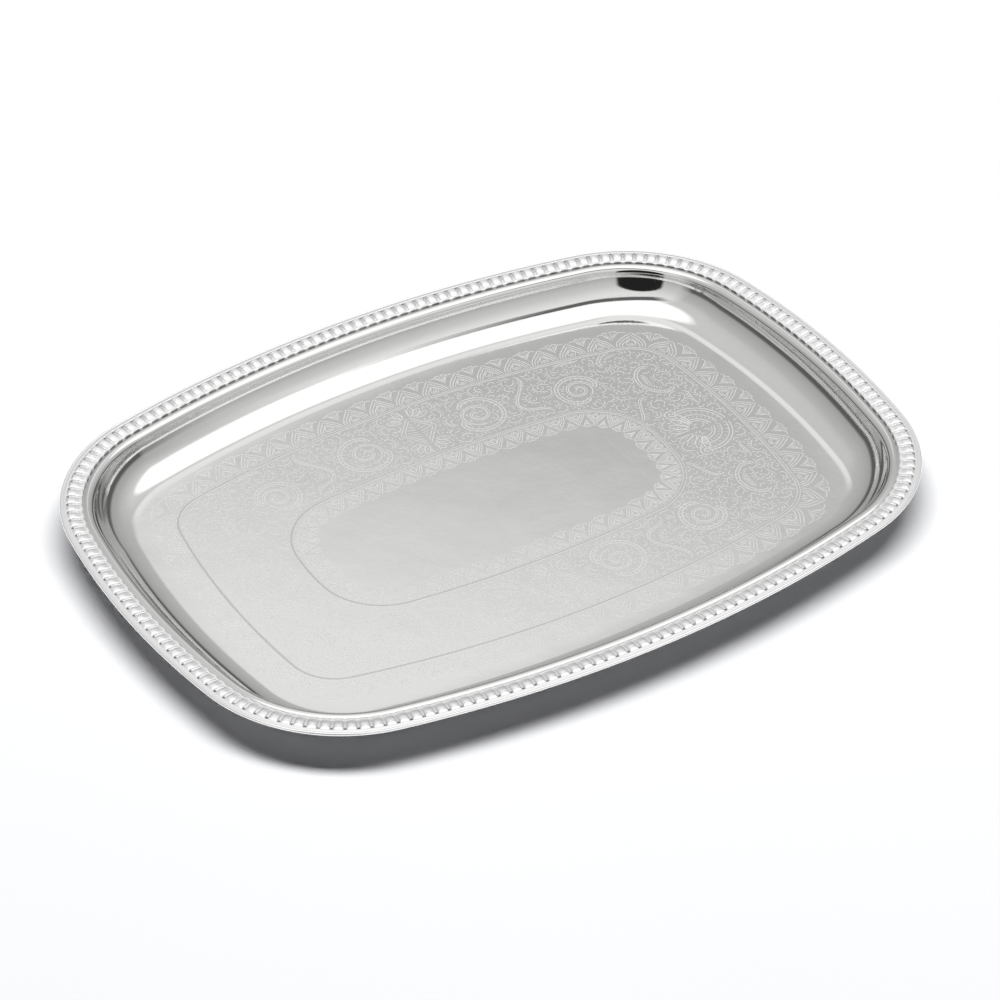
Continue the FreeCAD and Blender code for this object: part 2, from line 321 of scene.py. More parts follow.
def make_border(arc):
    """One length of border: rounded nose, flat band, a row of lobes, channel and feather edge."""
    half = (0.0, 0.25, 0.45, 0.6, 0.69, 0.76, 0.81, 0.86, 0.92)
    phases = np.array([-1.0, *[-share for share in half[:0:-1]], *half])
    lobes = LOBES[arc.family]
    phase = np.concatenate([np.tile(phases, lobes), [-1.0]])
    turns = np.repeat(np.arange(lobes + 1), len(phases))[: len(phase)] + (phase + 1) / 2
    stations = stations_at(arc, arc.first + turns / lobes * (arc.last - arc.first))
    across = len(stations)

    under = SEAT_HEIGHT - GAUGE
    nose_radius = (BAND_TOP - under) / 2
    nose = arc_points((nose_radius, (BAND_TOP + under) / 2), nose_radius, -math.pi, 0.0, 12)
    lobed_insets = np.concatenate(
        [
            np.linspace(BAND_WIDTH + 0.05, LOBE_CROWN_INSET, 14),
            np.linspace(LOBE_CROWN_INSET, LOBE_END_INSET, 18)[1:],
            np.linspace(LOBE_END_INSET, FEATHER_INSET, 6)[1:],
        ]
    )
    rows = [(inset, np.full(across, height), np.zeros(across)) for inset, height in nose]
    for inset in np.linspace(nose_radius, BAND_WIDTH - 0.04, 9)[1:]:
        rows.append((inset, np.full(across, band_height(inset)), np.zeros(across)))
    rows += [(inset, *border_heights(inset, phase)) for inset in lobed_insets]
    # painted shade: the seat under the border is marked fully shaded
    rows += [(inset, np.full(across, SEAT_HEIGHT), np.ones(across)) for inset in (FEATHER_INSET, LIP)]

    vertices = np.concatenate([np.column_stack([parallel(stations, row[0]), row[1]]) for row in rows])
    faces = []
    here = np.arange(across - 1)
    for row in range(len(rows)):
        a, b = row * across, (row + 1) % len(rows) * across
        faces += np.stack([a + here, a + here + 1, b + here + 1, b + here], axis=1).tolist()
    faces.append([row * across for row in range(len(rows))])
    faces.append([row * across + across - 1 for row in reversed(range(len(rows)))])
    node = BORDER_PREFIX + arc.name
    piece = make_object(node + "_lobed", vertices, faces, (node,), 50.0)
    # this attribute carries the painted shade of the border's recesses to its material
    attribute = piece.data.attributes.new("painted_recess_shade", "FLOAT", "POINT")
    attribute.data.foreach_set("value", np.concatenate([row[2] for row in rows]).astype(np.float32))
    return piece


# Engraved lines


def bezier(first, second, third, last, steps):
    t = np.linspace(0.0, 1.0, steps + 1)[:, None]
    points = [np.array(p, float) for p in (first, second, third, last)]
    return (
        (1 - t) ** 3 * points[0]
        + 3 * (1 - t) ** 2 * t * points[1]
        + 3 * (1 - t) * t**2 * points[2]
        + t**3 * points[3]
    )


def flourish(middle, heading, length, bend_back, bend, bend_on, power=3.0, step=0.7):
    """A scroll drawn by its curvature, which is bend at its middle and grows tighter to each end."""
    half = max(4, round(length / 2 / step))
    points = []
    for sign, end_bend in ((-1, bend_back), (1, bend_on)):
        travel = (np.arange(half) + 0.5) / half
        curvature = bend + (end_bend - bend) * travel**power
        angles = heading + sign * np.cumsum(curvature) * length / 2 / half
        steps = np.stack([np.cos(angles), np.sin(angles)], axis=1) * (sign * length / 2 / half)
        points.append(np.array(middle) + np.cumsum(steps, axis=0))
    return np.concatenate([points[0][::-1], [middle], points[1]])


def beside(points, distance):
    """The line beside another, to its left when distance is positive."""
    along = np.gradient(points, axis=0)
    along /= np.maximum(np.linalg.norm(along, axis=1, keepdims=True), 1e-9)
    return points + distance * np.stack([-along[:, 1], along[:, 0]], axis=1)


def direction(angle):
    return np.array([math.cos(angle), math.sin(angle)])


def circle(centre, radius, steps=8):
    angles = np.linspace(0.0, TURN, steps, endpoint=False)
    return np.array(centre) + radius * np.stack([np.cos(angles), np.sin(angles)], axis=1)


def spiral(centre, first_radius, last_radius, turns, start, hand, step=0.7):
    sweep = TURN * turns
    count = max(8, round(sweep * (first_radius + last_radius) / 2 / step))
    t = np.linspace(0.0, 1.0, count)
    radii = first_radius + (last_radius - first_radius) * t
    angles = start + hand * sweep * t
    return np.array(centre) + radii[:, None] * np.stack([np.cos(angles), np.sin(angles)], axis=1)


class Engraving:
    """Strokes of one piece: polylines, each with a half width and whether it closes on itself."""

    def __init__(self):
        self.strokes = []

    def draw(self, points, half_width=0.16, closed=False):
        self.strokes.append((np.asarray(points, float), half_width * LINE_WEIGHT, closed))

    def make(self, name, material):
        """Each stroke as a closed low ridge with three sides, tapered to its ends."""
        vertices, faces, total = [], [], 0
        cos, sin = math.cos(PATTERN_TURN), math.sin(PATTERN_TURN)
        turn = np.array([[cos, sin], [-sin, cos]])
        for points, half_width, closed in self.strokes:
            count = len(points)
            if closed:
                along = np.roll(points, -1, axis=0) - np.roll(points, 1, axis=0)
                taper = np.ones(count)
            else:
                along = np.gradient(points, axis=0)
                taper = np.ones(count)
                taper[[0, -1]] = 0.35
            along /= np.maximum(np.linalg.norm(along, axis=1, keepdims=True), 1e-9)
            side = np.stack([-along[:, 1], along[:, 0]], axis=1) * (half_width * taper)[:, None]
            left, right = (points + side) @ turn + PATTERN_SHIFT, (points - side) @ turn + PATTERN_SHIFT
            middle = points @ turn + PATTERN_SHIFT
            sunk = np.full(count, GAUGE - LINE_SUNK)
            crest = GAUGE + LINE_HEIGHT * np.sqrt(taper)
            block = np.empty((count, 3, 3))
            block[:, 0, :2], block[:, 0, 2] = left, sunk
            block[:, 1, :2], block[:, 1, 2] = middle, crest
            block[:, 2, :2], block[:, 2, 2] = right, sunk
            vertices.append(block.reshape(-1, 3))
            here = total + 3 * np.arange(count if closed else count - 1)
            there = total + 3 * ((np.arange(len(here)) + 1) % count)
            for a, b in ((0, 1), (1, 2), (2, 0)):
                faces.append(np.stack([here + a, there + a, there + b, here + b], axis=1))
            if not closed:
                last = total + 3 * (count - 1)
                faces.append([[total, total + 1, total + 2], [last + 2, last + 1, last]])
            total += 3 * count
        flat = [list(map(int, face)) for group in faces for face in group]
        piece = make_object(name, np.concatenate(vertices), flat, sharp=70.0)
        piece.data.materials.append(material)
        return piece


def draw_rings(track_outer, track_inner):
    """The thin lines that edge the two plain rings, and the darker cut along the middle of each."""
    edges, cuts = Engraving(), Engraving()
    for track in (track_outer, track_inner):
        cuts.draw(track.loop(0.0, 1.6), 0.34, True)
        for out in (-RING_GAP / 2, RING_GAP / 2):
            edges.draw(track.loop(out, 1.6), 0.12, True)
    return edges, cuts


def mirrored(points):
    return points * (-1, 1)


def draw_arch_border(track, height, pitch, out):
    """Pointed arches side by side along a ring, each with a bud in it and a fan between it and the next."""
    engraving = Engraving()
    count = round(track.length / pitch)
    pitch = track.length / count
    rng = np.random.default_rng(RANDOM_SEED)

    def put(points, middle, half_width=0.15, closed=False):
        placed = points * (1.0, out) + (middle, out * RING_GAP / 2)
        engraving.draw(track.place(placed), half_width, closed)

    for index in range(count):
        middle = index * pitch
        reach = height * (1 + 0.03 * rng.standard_normal())
        for share in (0.92, 0.74, 0.56):
            foot, tip = 0.5 * pitch * share, 0.93 * reach * share
            side = bezier((foot, 0.5), (foot * 0.95, 0.5 * tip), (foot * 0.35, 0.66 * tip), (0.0, tip), 8)
            put(side, middle)
            put(mirrored(side), middle)
        bulge, shoulder = (0.24 * pitch, 0.15 * reach), (0.1 * pitch, 0.36 * reach)
        bud = bezier((0.0, 0.9), bulge, shoulder, (0.0, 0.42 * reach), 6)
        put(bud, middle, 0.13)
        put(mirrored(bud), middle, 0.13)
        put(circle((0.0, 0.19 * reach), 0.05 * reach, 6), middle, 0.13, True)
        for lean in (-0.5, -0.3, -0.1, 0.1, 0.3, 0.5):
            first = np.array((pitch / 2 + 0.12 * lean * pitch, (0.42 + 0.35 * abs(lean)) * reach))
            length = (0.52 - 0.3 * abs(lean)) * reach
            last = first + length * np.array((math.sin(lean), math.cos(lean)))
            put(np.linspace(first, last, 3), middle, 0.13)
        for scallop in (-0.36, -0.13, 0.13, 0.36):
            centre = pitch / 2 + scallop * pitch * 0.8
            rise = (0.99 - 0.35 * abs(scallop)) * reach
            half = 0.1 * pitch
            bow = bezier((centre - half, rise - 0.5), (centre - half, rise + 0.5),
                         (centre + half, rise + 0.5), (centre + half, rise - 0.5), 4)
            put(bow, middle, 0.13)
    return engraving


class Quarter:
    """A quarter of the scroll band, with a map of the cells that no line runs near yet."""

    CELL = 0.25

    def __init__(self, track_outer, track_inner, clearance):
        self.strokes = []
        half_length = track_outer.centres[0][0] + track_outer.radii[0]
        size = np.array([half_length, RING_OUTER["half_width"]]) + 2.0
        counts = np.ceil(size / self.CELL).astype(int)
        xs, ys = np.meshgrid(np.arange(counts[0]), np.arange(counts[1]), indexing="ij")
        cells = (np.stack([xs.ravel(), ys.ravel()], axis=1) + 0.5) * self.CELL
        margin = RING_GAP / 2 + clearance
        free = (track_outer.depth(cells) > margin) & (track_inner.depth(cells) < -margin)
        free &= (cells > 0.45).all(axis=1)
        self.allowed = free.reshape(counts)
        self.free = self.allowed.copy()
        reach = int(math.ceil(clearance / self.CELL))
        grid = np.arange(-reach, reach + 1)
        dx, dy = np.meshgrid(grid, grid)
        near = dx**2 + dy**2 <= (clearance / self.CELL) ** 2
        self.brush = np.stack([dx[near], dy[near]], axis=1)

    def cells(self, points):
        lengths = np.linalg.norm(np.diff(points, axis=0), axis=1)
        travel = np.concatenate([[0.0], np.cumsum(lengths)])
        at = np.arange(0.0, travel[-1] + self.CELL, self.CELL)
        fine = np.stack([np.interp(at, travel, points[:, 0]), np.interp(at, travel, points[:, 1])], axis=1)
        return np.floor(fine / self.CELL).astype(int)

    def inside(self, cells):
        return ((cells >= 0) & (cells < self.free.shape)).all(axis=1)

    def draw(self, points, half_width=0.16, clip=True):
        """Keeps the parts of a stroke that lie in the band, and marks the cells near it as taken."""
        if clip:
            spots = np.floor(points / self.CELL).astype(int)
            kept = self.inside(spots)
            kept[kept] = self.allowed[tuple(spots[kept].T)]
        else:
            kept = np.ones(len(points), bool)
        edges = np.flatnonzero(np.diff(np.concatenate([[False], kept, [False]]).astype(int)))
        for first, last in zip(edges[::2], edges[1::2]):
            if last - first < 3:
                continue
            run = points[first:last]
            self.strokes.append((run, half_width))
            marked = (self.cells(run)[:, None, :] + self.brush[None]).reshape(-1, 2)
            marked = marked[self.inside(marked)]
            self.free[tuple(marked.T)] = False

    def fits(self, points):
        cells = self.cells(points)
        return self.inside(cells).all() and self.free[tuple(cells.T)].all()

    def draw_if_free(self, points, half_width):
        if self.fits(points):
            self.draw(points, half_width, clip=False)
            return True
        return False


def draw_ladder(quarter, line, gap, half_width=0.16):
    """Two lines side by side with short bars between them."""
    other = beside(line, gap)
    quarter.draw(line, half_width)
    quarter.draw(other, half_width)
    for index in range(3, len(line) - 3, 3):
        inner, outer = line[index], other[index]
        quarter.draw(np.linspace(inner + 0.25 * (outer - inner), inner + 0.75 * (outer - inner), 3), 0.14)


def draw_comb(quarter, line, side, length, every=2, lean=0.9):
    """Short curved strokes that lean back along one side of a line, as on a curled leaf."""
    along = np.gradient(line, axis=0)
    headings = np.arctan2(along[:, 1], along[:, 0])
    count = len(line)
    for index in range(2, count - 2, every):
        reach = length * math.sin(math.pi * (index + 1) / (count + 1)) ** 0.6
        heading = headings[index] + side * lean
        first = line[index] + 0.45 * direction(headings[index] + side * math.pi / 2)
        middle = first + 0.5 * reach * direction(heading)
        last = middle + 0.5 * reach * direction(heading + side * 0.7)
        quarter.draw(bezier(first, first * 0.5 + middle * 0.5, middle, last, 4), 0.12)


def draw_medallion(quarter, centre, radius, facing, hand):
    """A round scroll: a double C that curls in at both ends round a spiral leaf."""
    bend = hand / radius
    middle = np.array(centre) + radius * direction(facing)
    line = flourish(middle, facing + hand * math.pi / 2, 5.2 * radius, 5.0 * bend, bend, 4.0 * bend, 7.0)
    draw_ladder(quarter, line, hand * 1.35, 0.18)
    leaf = spiral(centre, 0.5, 0.62 * radius, 1.7, facing + 0.8, hand)
    quarter.draw(leaf, 0.18)
    quarter.draw(beside(leaf, -hand * 0.9)[6:-4], 0.14)
    flutes = max(9, round(1.5 * radius))
    for index in range(flutes):
        angle = facing + hand * (0.5 + index * (TURN - 1.6) / flutes)
        first = np.array(centre) + 0.68 * radius * direction(angle)
        last = np.array(centre) + 0.84 * radius * direction(angle + hand * 0.12)
        quarter.draw(np.linspace(first, last, 3), 0.13)


def draw_c_scroll(quarter, middle, heading, length, bend, curl, comb):
    """A C of two lines with tight curls, and combed leaf strokes inside it."""
    line = flourish(middle, heading, length, bend * curl, bend, bend * curl, 5.0)
    side = math.copysign(1.0, bend)
    draw_ladder(quarter, line, side * 1.2)
    inner = beside(line, side * 1.9)
    third = len(line) // 4
    draw_comb(quarter, inner[third:-third], side, comb)


def draw_s_scroll(quarter, middle, heading, length, curl, hand, comb=2.2):
    """An S that curls one way at one end and the other way at the other, with leaf strokes outside."""
    line = flourish(middle, heading, length, -hand / curl, 0.0, hand / curl, 2.6)
    quarter.draw(line, 0.17)
    quarter.draw(beside(line, 0.85)[3:-3], 0.13)
    half = len(line) // 2
    draw_comb(quarter, line[4:half], hand, comb)
    draw_comb(quarter, beside(line, 0.85)[half:-5], -hand, comb)


def draw_petal(quarter, base, heading, length, width, half_width=0.15):
    """A petal with a rounded end and a rib."""
    across = direction(heading + math.pi / 2) * width / 2
    tip = base + length * direction(heading)
    shoulder = base + 0.8 * length * direction(heading)
    for side in (-1, 1):
        quarter.draw(bezier(base, base + 0.4 * (shoulder - base) + side * across * 1.2,
                            shoulder + side * across * 1.5, tip, 8), half_width)
    quarter.draw(np.linspace(base + 0.3 * (tip - base), base + 0.75 * (tip - base), 3), 0.12)


def draw_fan(quarter, centre, facing, spread, petals, inner, outer, width):
    for index in range(petals):
        angle = facing + spread * (index / max(1, petals - 1) - 0.5)
        base = np.array(centre) + inner * direction(angle)
        draw_petal(quarter, base, angle, outer - inner, width)


def draw_end_shell(quarter):
    """Half of the shell in the middle of each end: bows round its back, petals towards the centre."""
    hub = np.array((92.5, 0.0))
    for radius, half_width in ((13.6, 0.18), (12.2, 0.16), (9.4, 0.16), (6.6, 0.18), (5.4, 0.15)):
        angles = np.linspace(0.0, 1.9, max(12, round(radius * 2.6)))
        quarter.draw(hub + radius * np.stack([0.95 * np.cos(angles), np.sin(angles)], axis=1), half_width)
    for index in range(9):
        angle = 0.08 + index * 0.2
        for inner, outer in ((10.1, 11.5), (7.3, 8.7)):
            first, last = hub + inner * direction(angle), hub + outer * direction(angle)
            quarter.draw(np.linspace(first, last, 3), 0.15)
    quarter.draw(spiral(hub + (-4.2, 13.0), 0.5, 3.0, 1.6, 1.2, 1), 0.17)
    quarter.draw(spiral(hub + (-1.6, 6.6), 0.4, 2.2, 1.4, 1.2, 1), 0.17)
    draw_fan(quarter, hub + (1.0, 0.0), math.pi - 0.62, 1.24, 5, 4.2, 12.6, 2.4)


def draw_side_palmette(quarter):
    """Half of the diamond in the middle of each long side, with petals above and below it."""
    hub = np.array((0.0, 53.5))
    for reach in (9.0, 7.2):
        quarter.draw(np.linspace(hub + (0.5, reach), hub + (0.86 * reach, 0.0), 14), 0.16)
        quarter.draw(np.linspace(hub + (0.86 * reach, 0.0), hub + (0.5, -reach), 14), 0.16)
    for level in np.arange(-4.8, 5.0, 1.6):
        width = 5.6 - abs(level) * 0.86
        quarter.draw(np.linspace(hub + (0.5, level - 0.6), hub + (width, level + 0.4), 6), 0.12)
    draw_fan(quarter, hub + (0.0, 6.0), math.pi / 2 - 0.62, 1.1, 4, 3.6, 9.6, 2.2)
    draw_fan(quarter, hub - (0.0, 6.0), -math.pi / 2 + 0.62, 1.1, 4, 3.6, 9.4, 2.2)


# tries, shortest and longest length, half width
GAP_FILLERS = ((5000, 6.0, 10.0, 0.14), (7000, 3.2, 5.6, 0.13), (9000, 1.4, 2.4, 0.13))


def fill_gaps(quarter):
    """Small curls, then commas, then ticks, wherever they fit between the scrolls."""
    rng = np.random.default_rng(RANDOM_SEED)
    spots = np.argwhere(quarter.free)
    for tries, low, high, half_width in GAP_FILLERS:
        picks = rng.integers(0, len(spots), tries)
        headings = rng.uniform(0.0, TURN, tries)
        lengths = rng.uniform(low, high, tries)
        hands = rng.choice((-1.0, 1.0), tries)
        for pick, heading, length, hand in zip(picks, headings, lengths, hands):
            if not quarter.free[tuple(spots[pick])]:
                continue
            middle = (spots[pick] + 0.5) * quarter.CELL
            bend = hand * 2.2 / length
            curl = flourish(middle, heading, length, 0.4 * bend, bend, 4.6 * bend, 2.0, 0.55)
            if quarter.draw_if_free(curl, half_width) and length > 5.0:
                draw_comb(quarter, curl[1:-4], -hand, 1.5)


def draw_scroll_band(track_outer, track_inner):
    """The broad band of scrolls, drawn as one quarter and mirrored to the other three."""
    quarter = Quarter(track_outer, track_inner, 0.75)
    draw_end_shell(quarter)
    draw_side_palmette(quarter)
    draw_medallion(quarter, (24.5, 51.0), 11.0, -0.4, 1)
    draw_medallion(quarter, (66.0, 44.5), 9.4, 2.4, -1)
    draw_c_scroll(quarter, (88.0, 34.5), 1.72, 34.0, -1 / 11.5, 7.0, 3.2)
    draw_c_scroll(quarter, (86.5, 60.2), 0.25, 22.0, -1 / 9.0, 6.0, 2.2)
    draw_s_scroll(quarter, (45.5, 54.5), 0.9, 24.0, 1.7, 1)
    draw_s_scroll(quarter, (80.5, 21.0), 1.2, 20.0, 1.6, -1)
    draw_s_scroll(quarter, (46.0, 42.0), -0.35, 15.0, 1.3, -1, 1.6)
    draw_s_scroll(quarter, (70.5, 61.5), -0.15, 15.0, 1.3, 1, 1.6)
    draw_s_scroll(quarter, (101.5, 19.0), 1.45, 11.0, 1.2, 1, 1.4)
    fill_gaps(quarter)
    engraving = Engraving()
    for points, half_width in quarter.strokes:
        for signs in ((1, 1), (-1, 1), (-1, -1), (1, -1)):
            engraving.draw(points * signs, half_width)
    return engraving


# Node graphs


def add(tree, kind, inputs=(), **settings):
    """A node with its settings made and its inputs set or linked, keyed by name or number."""
    node = tree.nodes.new(kind)
    for name, value in settings.items():
        setattr(node, name, value)
    for key, value in dict(inputs).items():
        if isinstance(value, bpy.types.NodeSocket):
            tree.links.new(value, node.inputs[key])
        else:
            node.inputs[key].default_value = value
    return node


def calc(tree, operation, *values):
    return add(tree, "ShaderNodeMath", enumerate(values), operation=operation).outputs[0]


def dot(tree, vector, axis):
    return add(tree, "ShaderNodeVectorMath", {0: vector, 1: axis}, operation="DOT_PRODUCT").outputs["Value"]


def ramp(tree, factor, stops):
    """A colour ramp; a stop is (position, grey or colour)."""
    node = add(tree, "ShaderNodeValToRGB", {"Fac": factor})
    elements = node.color_ramp.elements
    while len(elements) < len(stops):
        elements.new(0.5)
    for element, (position, colour) in zip(elements, stops):
        element.position = position
        element.color = (*colour, 1.0) if isinstance(colour, tuple) else (colour, colour, colour, 1.0)
    return node.outputs["Color"]


def map_range(tree, value, low, high, to_low, to_high):
    inputs = {"Value": value, "From Min": low, "From Max": high, "To Min": to_low, "To Max": to_high}
    return add(tree, "ShaderNodeMapRange", inputs, clamp=True).outputs[0]


def noise(tree, vector, scale, detail=3.0, roughness=0.5, distortion=0.0):
    inputs = {"Vector": vector, "Scale": scale, "Detail": detail}
    inputs.update({"Roughness": roughness, "Distortion": distortion})
    return add(tree, "ShaderNodeTexNoise", inputs).outputs["Fac"]


def object_coordinates(tree):
    return add(tree, "ShaderNodeTexCoord").outputs["Object"]


def scaled(tree, vector, scale, turn):
    inputs = {"Vector": vector, "Scale": scale, "Rotation": (0.0, 0.0, turn)}
    return add(tree, "ShaderNodeMapping", inputs).outputs[0]


def new_material(name):
    material = bpy.data.materials.new(name)
    material.use_nodes = True
    tree = material.node_tree
    tree.nodes.clear()
    shader = add(tree, "ShaderNodeBsdfPrincipled", {"Metallic": 1.0})
    output = add(tree, "ShaderNodeOutputMaterial")
    tree.links.new(shader.outputs[0], output.inputs["Surface"])
    return material, tree, shader


def mix_colour(tree, factor, first, second):
    """A blend of two colours; 6, 7 and 2 are the Mix node's colour sockets."""
    first, second = ((*end, 1.0) if isinstance(end, tuple) else end for end in (first, second))
    return add(tree, "ShaderNodeMix", {"Factor": factor, 6: first, 7: second}, data_type="RGBA").outputs[2]


def hairlines(tree, vector, turn, density):
    """Thin polishing scratches along one direction, 1 on a scratch."""
    stretched = scaled(tree, vector, (density, density * 0.012, 1.0), turn)
    grain = noise(tree, stretched, 1.0, 2.0)
    return map_range(tree, grain, 0.66, 0.72, 0.0, 1.0)


def bump(tree, heights, distance):
    """Surface relief; heights is a share of distance, in metres."""
    return add(tree, "ShaderNodeBump", {"Height": heights, "Distance": distance, "Strength": 1.0})


BORDER_METALLIC = 0.84
LINE_METALLIC = 0.88
RIPPLE_DEPTH = 0.06 * MM
MOTTLE_DEPTH = 0.006 * MM
BORDER_GRAIN_DEPTH = 0.01 * MM
# the border's silver tones, ending in the dark grey of the painted shade in its recesses
BORDER_TONES_AND_SHADE = ((0.0, (0.985, 0.985, 0.98)), (0.4, (0.82, 0.82, 0.82)), (1.0, (0.16, 0.16, 0.165)))


def silver_material():
    """Polished plate: handling haze, faint hairlines, and the slight ripple of a pressed sheet."""
    material, tree, shader = new_material("tray_silver")
    place = object_coordinates(tree)
    haze = noise(tree, place, 55.0, 5.0, 0.62, 0.4)
    mottle = noise(tree, place, 420.0, 3.0, 0.6)
    scratches = [hairlines(tree, place, 0.5, 900.0), hairlines(tree, place, -0.9, 760.0)]
    scratches = calc(tree, "MAXIMUM", *scratches)
    tone = mix_colour(tree, haze, (0.905, 0.9, 0.885), (0.945, 0.945, 0.94))
    tone = mix_colour(tree, map_range(tree, mottle, 0.3, 0.75, 0.0, 0.35), tone, (0.86, 0.865, 0.865))
    tree.links.new(tone, shader.inputs["Base Color"])
    scratch_rough = calc(tree, "MULTIPLY", scratches, 0.06)
    rough = calc(tree, "ADD", map_range(tree, haze, 0.3, 0.7, 0.04, 0.07), scratch_rough)
    tree.links.new(rough, shader.inputs["Roughness"])
    ripple = noise(tree, place, 38.0, 2.0, 0.4)
    relief = bump(tree, ripple, RIPPLE_DEPTH)
    fine = bump(tree, mottle, MOTTLE_DEPTH)
    tree.links.new(relief.outputs[0], fine.inputs["Normal"])
    tree.links.new(fine.outputs[0], shader.inputs["Normal"])
    return material


def border_material():
    """The same plate over the struck border, rougher in the grooves, with painted shade darkening them."""
    material, tree, shader = new_material("border_silver")
    shader.inputs["Metallic"].default_value = BORDER_METALLIC
    place = object_coordinates(tree)
    painted_recess_shade = add(tree, "ShaderNodeAttribute", attribute_name="painted_recess_shade").outputs["Fac"]
    patch = noise(tree, place, 240.0, 4.0, 0.6)
    # painted shade: the recess mask darkens the base colour towards near black in the grooves
    painted_shade = calc(tree, "MULTIPLY", painted_recess_shade, map_range(tree, patch, 0.25, 0.65, 0.75, 1.0))
    tree.links.new(ramp(tree, painted_shade, BORDER_TONES_AND_SHADE), shader.inputs["Base Color"])
    recess_roughness = calc(tree, "MULTIPLY", painted_shade, 0.25)
    rough = calc(tree, "ADD", map_range(tree, patch, 0.3, 0.7, 0.17, 0.25), recess_roughness)
    tree.links.new(rough, shader.inputs["Roughness"])
    relief = bump(tree, noise(tree, place, 900.0, 2.0), BORDER_GRAIN_DEPTH)
    tree.links.new(relief.outputs[0], shader.inputs["Normal"])
    return material


def line_material():
    """Cut and frosted silver: the lines scatter light, so they read paler than the polish round them."""
    material, tree, shader = new_material("engraved_silver")
    shader.inputs["Metallic"].default_value = LINE_METALLIC
    wear = noise(tree, object_coordinates(tree), 95.0, 3.0, 0.6)
    tone = mix_colour(tree, wear, (0.89, 0.89, 0.885), (0.96, 0.96, 0.955))
    tree.links.new(tone, shader.inputs["Base Color"])
    tree.links.new(map_range(tree, wear, 0.3, 0.7, 0.36, 0.5), shader.inputs["Roughness"])
    return material


def cut_material():
    """The middle of each ring, a little darker and less polished than the floor."""
    material, tree, shader = new_material("cut_silver")
    wear = noise(tree, object_coordinates(tree), 160.0, 3.0, 0.6)
    tone = mix_colour(tree, wear, (0.77, 0.765, 0.755), (0.87, 0.865, 0.855))
    tree.links.new(tone, shader.inputs["Base Color"])
    tree.links.new(map_range(tree, wear, 0.3, 0.7, 0.2, 0.34), shader.inputs["Roughness"])
    return material


# Studio

CAMERA_AZIMUTH = math.radians(-32.54)
CAMERA_ELEVATION = math.radians(38.35)
CAMERA_ROLL = math.radians(0.06)
CAMERA_DISTANCE = 1.5908
CAMERA_TARGET = Vector((-0.0057, -0.0135, 0.0149))
CAMERA_LENS = 155.2

CAMERA_BACK = Vector(
    (
        math.sin(CAMERA_AZIMUTH) * math.cos(CAMERA_ELEVATION),
        -math.cos(CAMERA_AZIMUTH) * math.cos(CAMERA_ELEVATION),
        math.sin(CAMERA_ELEVATION),
    )
)

KEY_AT = Vector((0.2, 0.25, 2.6))
KEY_LENGTH = 2.6
KEY_WIDTH = 0.85
KEY_ENERGY = 130.0

FLOOR_HALF = 6.0
FLOOR_TONES = ((0.6, 0.603, 0.614), (0.615, 0.618, 0.626))

# the tent's brightness behind and in front by the sine of the elevation, and its other greys
SWEEP_STOPS = (
    (0.0, 0.1), (0.17, 0.11), (0.26, 0.38), (0.42, 0.43), (0.60, 0.49), (0.70, 0.58), (0.87, 0.63)
)
CARD_STOPS = (
    (0.0, 0.3), (0.06, 0.46), (0.26, 0.55), (0.42, 0.6), (0.57, 0.69), (0.68, 0.76), (0.75, 0.8)
)
WHITE = (1.0, 1.0, 1.0)
ROOF_WHITE = (1.12, 1.12, 1.11)
GAP_GREY = (0.12, 0.12, 0.122)
FIGURE_GREY = (0.016, 0.016, 0.017)
BOUNCE_GREY = (0.05, 0.052, 0.062)
BACKDROP = (0.93, 0.93, 0.94)


def make_camera():
    data = bpy.data.cameras.new("camera")
    data.lens = CAMERA_LENS
    data.sensor_width = 36.0
    camera = bpy.data.objects.new("camera", data)
    bpy.context.collection.objects.link(camera)
    camera.rotation_mode = "QUATERNION"
    camera.location = CAMERA_TARGET + CAMERA_DISTANCE * CAMERA_BACK
    aim = (-CAMERA_BACK).to_track_quat("-Z", "Y")
    camera.rotation_quaternion = aim @ Quaternion((0.0, 0.0, 1.0), CAMERA_ROLL)
    bpy.context.scene.camera = camera


def make_floor():
    """A plain pale sheet under the tray."""
    half = FLOOR_HALF
    corners = [(-half, -half, 0.0), (half, -half, 0.0), (half, half, 0.0), (-half, half, 0.0)]
    mesh = bpy.data.meshes.new("floor")
    mesh.from_pydata(corners, [], [(0, 1, 2, 3)])
    floor = bpy.data.objects.new("floor", mesh)
    bpy.context.collection.objects.link(floor)
    material, tree, shader = new_material("pale_floor")
    shader.inputs["Metallic"].default_value = 0.0
    shader.inputs["Specular IOR Level"].default_value = 0.0
    shader.inputs["Roughness"].default_value = 0.9
    tone = mix_colour(tree, noise(tree, object_coordinates(tree), 3.0), *FLOOR_TONES)
    tree.links.new(tone, shader.inputs["Base Color"])
    mesh.materials.append(material)


def make_key_light():
    """One long softbox overhead, which keeps the soft shadow under the rim."""
    data = bpy.data.lights.new("key", "AREA")
    data.shape = "RECTANGLE"
    data.size = KEY_LENGTH
    data.size_y = KEY_WIDTH
    data.energy = KEY_ENERGY
    light = bpy.data.objects.new("key", data)
    bpy.context.collection.objects.link(light)
    light.location = KEY_AT
    light.rotation_mode = "QUATERNION"
    light.rotation_quaternion = (-KEY_AT).to_track_quat("-Z", "Y")
    light.visible_glossy = False


def level_direction(degrees):
    return (math.cos(math.radians(degrees)), math.sin(math.radians(degrees)), 0.0)


class Sky:
    """The direction a ray of the world leaves in, and the measures of it that the tent is drawn with."""

    def __init__(self, tree):
        self.tree = tree
        self.towards = add(tree, "ShaderNodeTexCoord").outputs["Generated"]
        self.height = dot(tree, self.towards, (0.0, 0.0, 1.0))
        flat = calc(tree, "SUBTRACT", 1.0, calc(tree, "POWER", self.height, 2.0))
        self.level = calc(tree, "SQRT", calc(tree, "MAXIMUM", flat, 1e-4))

    def along(self, degrees):
        return dot(self.tree, self.towards, level_direction(degrees))

    def bearing(self, degrees):
        """The cosine of the level angle away from a bearing."""
        return calc(self.tree, "DIVIDE", self.along(degrees), self.level)


